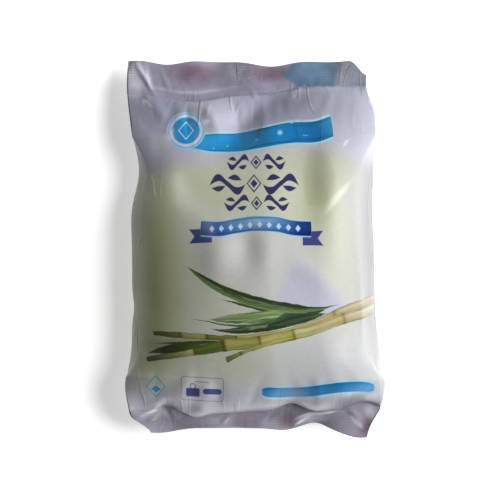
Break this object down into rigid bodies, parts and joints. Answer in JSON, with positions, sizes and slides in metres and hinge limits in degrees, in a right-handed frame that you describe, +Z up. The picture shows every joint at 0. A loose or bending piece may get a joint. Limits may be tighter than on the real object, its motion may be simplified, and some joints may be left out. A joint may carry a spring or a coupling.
{
  "type": "sugar packet",
  "caption": "Filled soft film packet of granulated sugar with gusseted sides and a flat crimped seal at each end, lying on its back with the printed front up.",
  "frame": {"origin": "on the surface the packet lies on, under the middle of its bounding box", "axes": "+X across the printed front towards its right side, +Y along the packet from the bottom seal to the top seal, +Z up out of the printed front"},
  "size_m": [0.1536, 0.2267, 0.0617],
  "materials": {
    "printed_film": "printed polyethylene film, soft gloss",
    "granulated_sugar": "fine white crystals"
  },
  "bodies": {
    "root": {"packet": "printed_film"}
  },
  "joints": []
}
